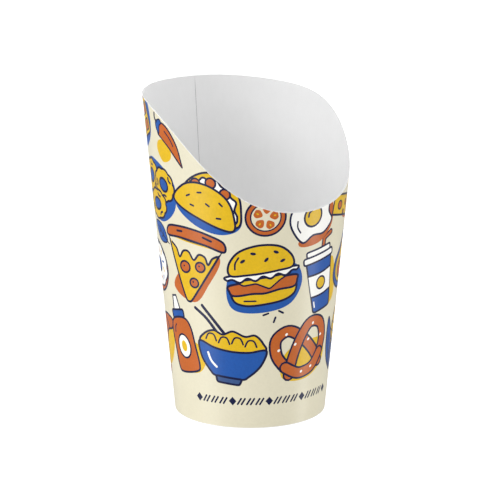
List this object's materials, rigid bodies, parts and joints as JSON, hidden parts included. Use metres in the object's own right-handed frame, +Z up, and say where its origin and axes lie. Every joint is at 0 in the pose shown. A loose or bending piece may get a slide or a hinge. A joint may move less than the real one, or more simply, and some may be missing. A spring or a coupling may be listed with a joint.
{
  "type": "paper scoop cup",
  "caption": "Empty paper scoop cup for chips: a tapered board wall with a slanting cut mouth, tall at the back and low at the front, and a raised board base.",
  "frame": {"origin": "middle of the bounding box in X and Y, on the surface the cup stands on", "axes": "+Z up through the mouth; the low lip faces -Y and the tall back with its glued seam faces +Y; +X is to the right of someone who faces the low lip"},
  "size_m": [0.0821, 0.0802, 0.1285],
  "materials": {
    "printed_board": "coated board printed with food drawings on cream outside, plain white inside",
    "white_board": "plain white coated board, satin"
  },
  "bodies": {
    "root": {"side_wall": "printed_board", "base": "white_board"}
  },
  "joints": []
}
